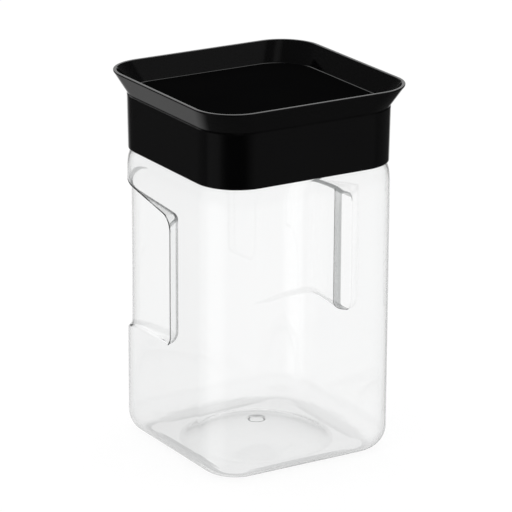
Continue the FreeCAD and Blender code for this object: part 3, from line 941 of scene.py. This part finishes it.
def close_up(made):
    """Turns all faces outwards, shades them smoothly and tells the piece's volume."""
    work = bmesh.new()
    work.from_mesh(made.data)
    bmesh.ops.recalc_face_normals(work, faces=work.faces)
    if work.calc_volume(signed=True) < 0:
        bmesh.ops.reverse_faces(work, faces=work.faces)
    open_edges = sum(1 for edge in work.edges if not edge.is_manifold)
    for face in work.faces:
        face.smooth = True
    work.to_mesh(made.data)
    volume = work.calc_volume(signed=True) / MM ** 3
    work.free()
    made.data.update()
    print(made.name, len(made.data.polygons), "faces,", open_edges, "open edges,", round(volume), "mm3")


print("helpers", [helper.__name__ for helper in (mesh_from_rings, close_up)])

# %% [markdown]
# The jar as a piece
#
# Outer skin, lip and inner skin become one closed mesh, so light bends on the way in and on the way out.
# A single sheet with a thin glass shader could stand for the wall, but it would show no lines at the bends.
# The painted shade goes on the points as an attribute, where the finish finds it.

# %% Jar
jar = mesh_from_rings("clear_jar", jar_rings, *jar_poles, [clear_plastic])
close_up(jar)
# Painted shade and painted shadow for the clear plastic, one value per point, none at the two poles.
painted_shade_values = jar.data.attributes.new(SHADE_ATTRIBUTE, "FLOAT", "POINT")
pole_shades = (0, 0)
painted_shade_values.data.foreach_set("value", np.append(jar_painted_shade.ravel(), pole_shades).astype(np.float32))
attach(jar, "jar")
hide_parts("jar_body")

# %% [markdown]
# The lid
#
# The lid is one moulding: a skirt over the neck, a tiny ledge, a flared tray rim that ends in a narrow
# upright lip, a sunk tray floor, and underneath a locating rib. Its skirt, flare and tray have corner radii
# of their own, so no single line can be carried round it. Instead it is a loft: a profile line in which
# every corner also carries its corner radius seen from above, and each point of the line becomes one ring.
# The lip's roundings are small, so the rim shows as a fine bright line, as one from a polished mould does.

# %% Lid line
lid_low, lid_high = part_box("lid_shell")
SEAM = lid_low.z / MM
RIM_TOP = lid_high.z / MM
SKIRT_HEIGHT = 26.2
SKIRT_SETBACK = 0.27
SKIRT_TAPER = 0.32
SKIRT_CORNER = 20.5
SKIRT_CLEARANCE = 0.43
LEDGE = 0.5
FLARE_REACH = 5.0
RIM_CORNER = 20.0
LIP_BAND = 0.6
TRAY_WALL = 1.5
TRAY_FLOOR_RISE = 0.9
LID_FLOOR = 1.5
RIB_OUTSIDE = 43.2
RIB_INSIDE = 42.0
RIB_HEIGHT = 4.0
EDGE_ROUND = 0.25
SEAM_ROUND = 0.35
FLARE_FOOT_ROUND = 0.2
LIP_FOOT_ROUND = 0.15
RIM_ROUND = 0.2
TRAY_ROUND = 0.35
UNDERSIDE_MARGIN = 6.0
TRAY_MARGIN = 8.0
LID_ANGLE = math.radians(15)
skirt_low = JAR_HALF - SKIRT_SETBACK
skirt_high = skirt_low + SKIRT_TAPER
flare_foot = SEAM + SKIRT_HEIGHT
flare_low = skirt_high - LEDGE
rim_half = flare_low + FLARE_REACH
lip_foot = RIM_TOP - LIP_BAND
flare_slope = FLARE_REACH / (lip_foot - flare_foot)
tray_floor = flare_foot + TRAY_FLOOR_RISE
tray_low = flare_low + flare_slope * TRAY_FLOOR_RISE - TRAY_WALL
tray_corner = RIM_CORNER - TRAY_WALL
underside = tray_floor - LID_FLOOR
rib_foot = underside - RIB_HEIGHT
cavity = JAR_HALF - NECK_INSET + SKIRT_CLEARANCE


def with_jar_corner(half, height, rounding_radius):
    """A corner of the line whose ring turns about the same corner middles as the jar does."""
    return half, height, rounding_radius, half - corner_middle


lid_line = rounded_line([
    with_jar_corner(RIB_INSIDE - UNDERSIDE_MARGIN, underside, 0),
    with_jar_corner(RIB_INSIDE, underside, EDGE_ROUND),
    with_jar_corner(RIB_INSIDE, rib_foot, EDGE_ROUND),
    with_jar_corner(RIB_OUTSIDE, rib_foot, EDGE_ROUND),
    with_jar_corner(RIB_OUTSIDE, underside, EDGE_ROUND),
    with_jar_corner(cavity, underside, EDGE_ROUND),
    with_jar_corner(cavity, SEAM, EDGE_ROUND),
    (skirt_low, SEAM, SEAM_ROUND, SKIRT_CORNER),
    (skirt_high, flare_foot, EDGE_ROUND, SKIRT_CORNER),
    (flare_low, flare_foot, FLARE_FOOT_ROUND, RIM_CORNER),
    (rim_half, lip_foot, LIP_FOOT_ROUND, RIM_CORNER),
    (rim_half, RIM_TOP, RIM_ROUND, RIM_CORNER),
    (rim_half - TRAY_WALL, RIM_TOP, RIM_ROUND, tray_corner),
    (tray_low, tray_floor, TRAY_ROUND, tray_corner),
    (tray_low - TRAY_MARGIN, tray_floor, 0, tray_corner - TRAY_MARGIN)], angle=LID_ANGLE)
print("lid line with", len(lid_line), "points")

# %% [markdown]
# Rings of the lid
#
# Each point of the line becomes a rounded square of its own size and corner. The tray floor has a matt
# grain. A thin plate could carry it, but the real floor is one with the lid, so its faces only take the
# second finish.

# %% Lid
SIDE_PARTS = (0.02, 0.15, 0.5, 0.85, 0.98)
CORNER_STEPS = 26
FACING_UP = 0.9
lid_rings = []
for half, height, _, corner_radius in lid_line:
    lid_rings.append(level_ring(rounded_square(half, corner_radius, SIDE_PARTS, CORNER_STEPS), height))
lid = mesh_from_rings("black_lid", np.array(lid_rings), underside, tray_floor, [lid_gloss, tray_grain])
close_up(lid)
for face in lid.data.polygons:
    on_tray_floor = abs(face.center.z - tray_floor * MM) < TINY and face.normal.z > FACING_UP
    face.material_index = 1 if on_tray_floor else 0
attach(lid, "lid")
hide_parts("lid_shell")

# %% [markdown]
# The pan and the seal
#
# Both follow one rule: a small profile is carried round a rounded square. A loft like the lid's could make
# them too, but this is what Geometry Nodes do well: the tree makes the square from named sizes, rounds its
# corners, and sweeps the profile along it. The pan gets a floor as well, filled from the same square, so
# its points meet the wall's points exactly.

# %% Sweep tree
SWEEP_NUMBERS = ("Half Width", "Corner Radius", "Floor Bottom", "Floor Top")
FLOOR_PLATES = ("Floor Bottom", "Floor Top")


def sweep_tree(name, with_floor):
    """A Geometry Nodes tree that carries a profile round a rounded square, with or without a floor plate."""
    tree = bpy.data.node_groups.new(name, "GeometryNodeTree")
    for label in SWEEP_NUMBERS:
        tree.interface.new_socket(label, in_out="INPUT", socket_type="NodeSocketFloat")
    tree.interface.new_socket("Corner Steps", in_out="INPUT", socket_type="NodeSocketInt")
    tree.interface.new_socket("Profile", in_out="INPUT", socket_type="NodeSocketObject")
    tree.interface.new_socket("Finish", in_out="INPUT", socket_type="NodeSocketMaterial")
    tree.interface.new_socket("Geometry", in_out="OUTPUT", socket_type="NodeSocketGeometry")
    given = put(tree, "NodeGroupInput").outputs
    width = calculate(tree, "MULTIPLY", given["Half Width"], 2.0)
    square = put(tree, "GeometryNodeCurvePrimitiveQuadrilateral", {"Width": width, "Height": width})
    path = put(tree, "GeometryNodeFilletCurve", {
        "Curve": square.outputs[0],
        "Radius": given["Corner Radius"],
        "Count": given["Corner Steps"]}, mode="POLY")
    upright = put(tree, "GeometryNodeSetCurveNormal", {"Curve": path.outputs[0]}, mode="Z_UP")
    profile = put(tree, "GeometryNodeObjectInfo", {"Object": given["Profile"]})
    wall = put(tree, "GeometryNodeCurveToMesh", {
        "Curve": upright.outputs[0], "Profile Curve": profile.outputs["Geometry"]})
    joined = put(tree, "GeometryNodeJoinGeometry")
    tree.links.new(wall.outputs[0], joined.inputs[0])
    for label in FLOOR_PLATES if with_floor else ():
        plate = put(tree, "GeometryNodeFillCurve", {"Curve": path.outputs[0]}, mode="NGONS")
        lift = put(tree, "ShaderNodeCombineXYZ", {"Z": given[label]})
        raised = put(tree, "GeometryNodeTransform", {
            "Geometry": plate.outputs[0], "Translation": lift.outputs[0]})
        tree.links.new(raised.outputs[0], joined.inputs[0])
    merged = put(tree, "GeometryNodeMergeByDistance", {"Geometry": joined.outputs[0], "Distance": TINY})
    real = put(tree, "GeometryNodeRealizeInstances", {"Geometry": merged.outputs[0]})
    painted = put(tree, "GeometryNodeSetMaterial", {"Geometry": real.outputs[0], "Material": given["Finish"]})
    put(tree, "NodeGroupOutput", {0: painted.outputs[0]})
    return tree


print("sweep takes", ", ".join(SWEEP_NUMBERS), "in metres")

# %% [markdown]
# From tree to piece
#
# The tree runs as a modifier on an empty mesh. It could stay live, but a piece that is kept has to be a
# plain mesh. So a helper sets the inputs, takes the evaluated mesh, and drops the modifier and the profile.

# %% Swept pieces
SWEEP_CORNER_STEPS = 18


def profile_curve(name, line, closed):
    """A curve object from a profile of (outward, height) points, laid flat as the sweep expects it."""
    curve = bpy.data.curves.new(name, "CURVE")
    curve.dimensions = "3D"
    spline = curve.splines.new("POLY")
    spline.points.add(len(line) - 1)
    for point, (across, height) in zip(spline.points, line):
        point.co = (across * MM, -height * MM, 0, 1)
    spline.use_cyclic_u = closed
    made = bpy.data.objects.new(name, curve)
    bpy.context.scene.collection.objects.link(made)
    return made


def swept_piece(name, line, closed, values, with_floor):
    """Runs the tree on a profile and keeps the result as a plain mesh."""
    profile = profile_curve(name + "_profile", line, closed)
    tree = sweep_tree(name + "_sweep", with_floor)
    made = bpy.data.objects.new(name, bpy.data.meshes.new(name))
    bpy.context.scene.collection.objects.link(made)
    modifier = made.modifiers.new("sweep", "NODES")
    modifier.node_group = tree
    values = {**values, "Profile": profile, "Corner Steps": SWEEP_CORNER_STEPS}
    for item in tree.interface.items_tree:
        if item.in_out == "INPUT" and item.name in values:
            modifier[item.identifier] = values[item.name]
    ready = made.evaluated_get(bpy.context.evaluated_depsgraph_get())
    mesh = bpy.data.meshes.new_from_object(ready)
    made.modifiers.remove(modifier)
    made.data = mesh
    mesh.name = name
    bpy.data.objects.remove(profile)
    close_up(made)
    return made


print("corners swept in", SWEEP_CORNER_STEPS, "steps")

# %% [markdown]
# The pan
#
# The pan is a shallow black dish, pressed over the lid's rib from below, with a flange that carries the
# seal. It could be a box with its top cut out. As a swept wall with a floor it keeps even roundings at
# every edge.

# %% Pan
pan_low, pan_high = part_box("plug_insert")
PAN_BOTTOM = pan_low.z / MM
PAN_TOP = pan_high.z / MM
PAN_WALL = 1.2
FLANGE_HEIGHT = 1.4
FLANGE_STAND = 1.2
FLANGE_ROUND = 0.4
PAN_HOLD = 0.2
PAN_ANGLE = math.radians(20)
flange_half = pan_high.x / MM
pan_half = flange_half - FLANGE_STAND
pan_inside = pan_half - PAN_WALL
flange_reach = flange_half - pan_inside
pan_floor = PAN_BOTTOM + PAN_WALL
flange_top = PAN_BOTTOM + FLANGE_HEIGHT
pan_line = rounded_line([
    (0, pan_floor, 0),
    (0, PAN_TOP, EDGE_ROUND),
    (PAN_WALL, PAN_TOP, EDGE_ROUND),
    (PAN_WALL, flange_top, EDGE_ROUND),
    (flange_reach, flange_top, EDGE_ROUND),
    (flange_reach, PAN_BOTTOM, FLANGE_ROUND),
    (0, PAN_BOTTOM, 0)], hold=PAN_HOLD, angle=PAN_ANGLE)[:, :2]
pan = swept_piece("inner_pan", pan_line, False, {
    "Half Width": pan_inside * MM, "Corner Radius": (pan_inside - corner_middle) * MM,
    "Floor Bottom": PAN_BOTTOM * MM, "Floor Top": pan_floor * MM, "Finish": pan_satin}, True)
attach(pan, "lid")
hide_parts("plug_insert")

# %% [markdown]
# The seal
#
# The seal is a band of soft silicone with two fins that bend against the neck when the lid goes on.
# Separate rings could stand for the fins, but a seal is moulded in one piece, so its profile is one closed
# line with rounded fin tips.

# %% Seal
seal_low, seal_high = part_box("seal_ring")
SEAL_BOTTOM = seal_low.z / MM
SEAL_TOP = seal_high.z / MM
SEAL_BAND = 0.8
SEAL_FIN = 0.9
SEAL_FIT = 0.05
FIN_COUNT = 2
BAND_ROUND = 0.15
FIN_FOOT_ROUND = 0.12
FIN_TIP_ROUND = 0.35
SEAL_HOLD = 0.15
SEAL_ANGLE = math.radians(25)
seal_hole = pan_half + SEAL_FIT
fin_reach = seal_high.x / MM - seal_hole
seal_corners = [(0, SEAL_BOTTOM, 0), (SEAL_BAND, SEAL_BOTTOM, BAND_ROUND)]
for fin in range(1, FIN_COUNT + 1):
    fin_middle = SEAL_BOTTOM + (SEAL_TOP - SEAL_BOTTOM) * fin / (FIN_COUNT + 1)
    fin_low = fin_middle - SEAL_FIN / 2
    fin_high = fin_middle + SEAL_FIN / 2
    seal_corners += [
        (SEAL_BAND, fin_low, FIN_FOOT_ROUND), (fin_reach, fin_low, FIN_TIP_ROUND),
        (fin_reach, fin_high, FIN_TIP_ROUND), (SEAL_BAND, fin_high, FIN_FOOT_ROUND)]
seal_corners += [(SEAL_BAND, SEAL_TOP, BAND_ROUND), (0, SEAL_TOP, 0)]
seal_line = rounded_line(seal_corners, hold=SEAL_HOLD, angle=SEAL_ANGLE)[:, :2]
seal = swept_piece("soft_seal_band", seal_line, True, {
    "Half Width": seal_hole * MM, "Corner Radius": (seal_hole - corner_middle) * MM, "Finish": silicone}, False)
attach(seal, "lid")
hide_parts("seal_ring")

# %% Sizes and finish
visual_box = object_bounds()
for label, box in (("solids", cad_box), ("looks", visual_box)):
    print(label, [[round(part / MM, 2) for part in corner] for corner in box])
